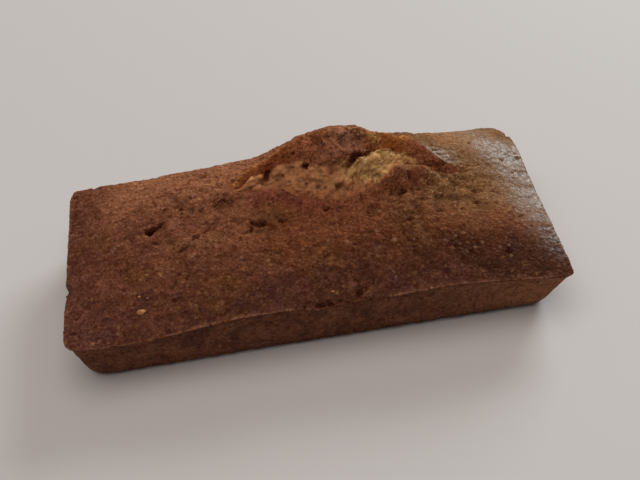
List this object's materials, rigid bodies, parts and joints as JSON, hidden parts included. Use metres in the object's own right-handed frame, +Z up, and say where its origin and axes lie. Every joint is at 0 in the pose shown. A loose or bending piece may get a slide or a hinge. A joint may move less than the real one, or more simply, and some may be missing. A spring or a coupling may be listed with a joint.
{
  "type": "financier cake",
  "caption": "Almond cake baked as a tapered ingot with a flat base, a domed brown crust and a torn, craggy burst along the top.",
  "frame": {"origin": "on the supporting surface, under the middle of the cake", "axes": "+X along the cake, +Y across it towards the high side of the burst, +Z up out of the top crust"},
  "size_m": [0.095, 0.0449, 0.0261],
  "materials": {
    "baked_crust": "fine-pored reddish brown baked crust with a satin sheen, torn open to golden crumb"
  },
  "bodies": {
    "root": {"financier": "baked_crust"}
  },
  "joints": []
}
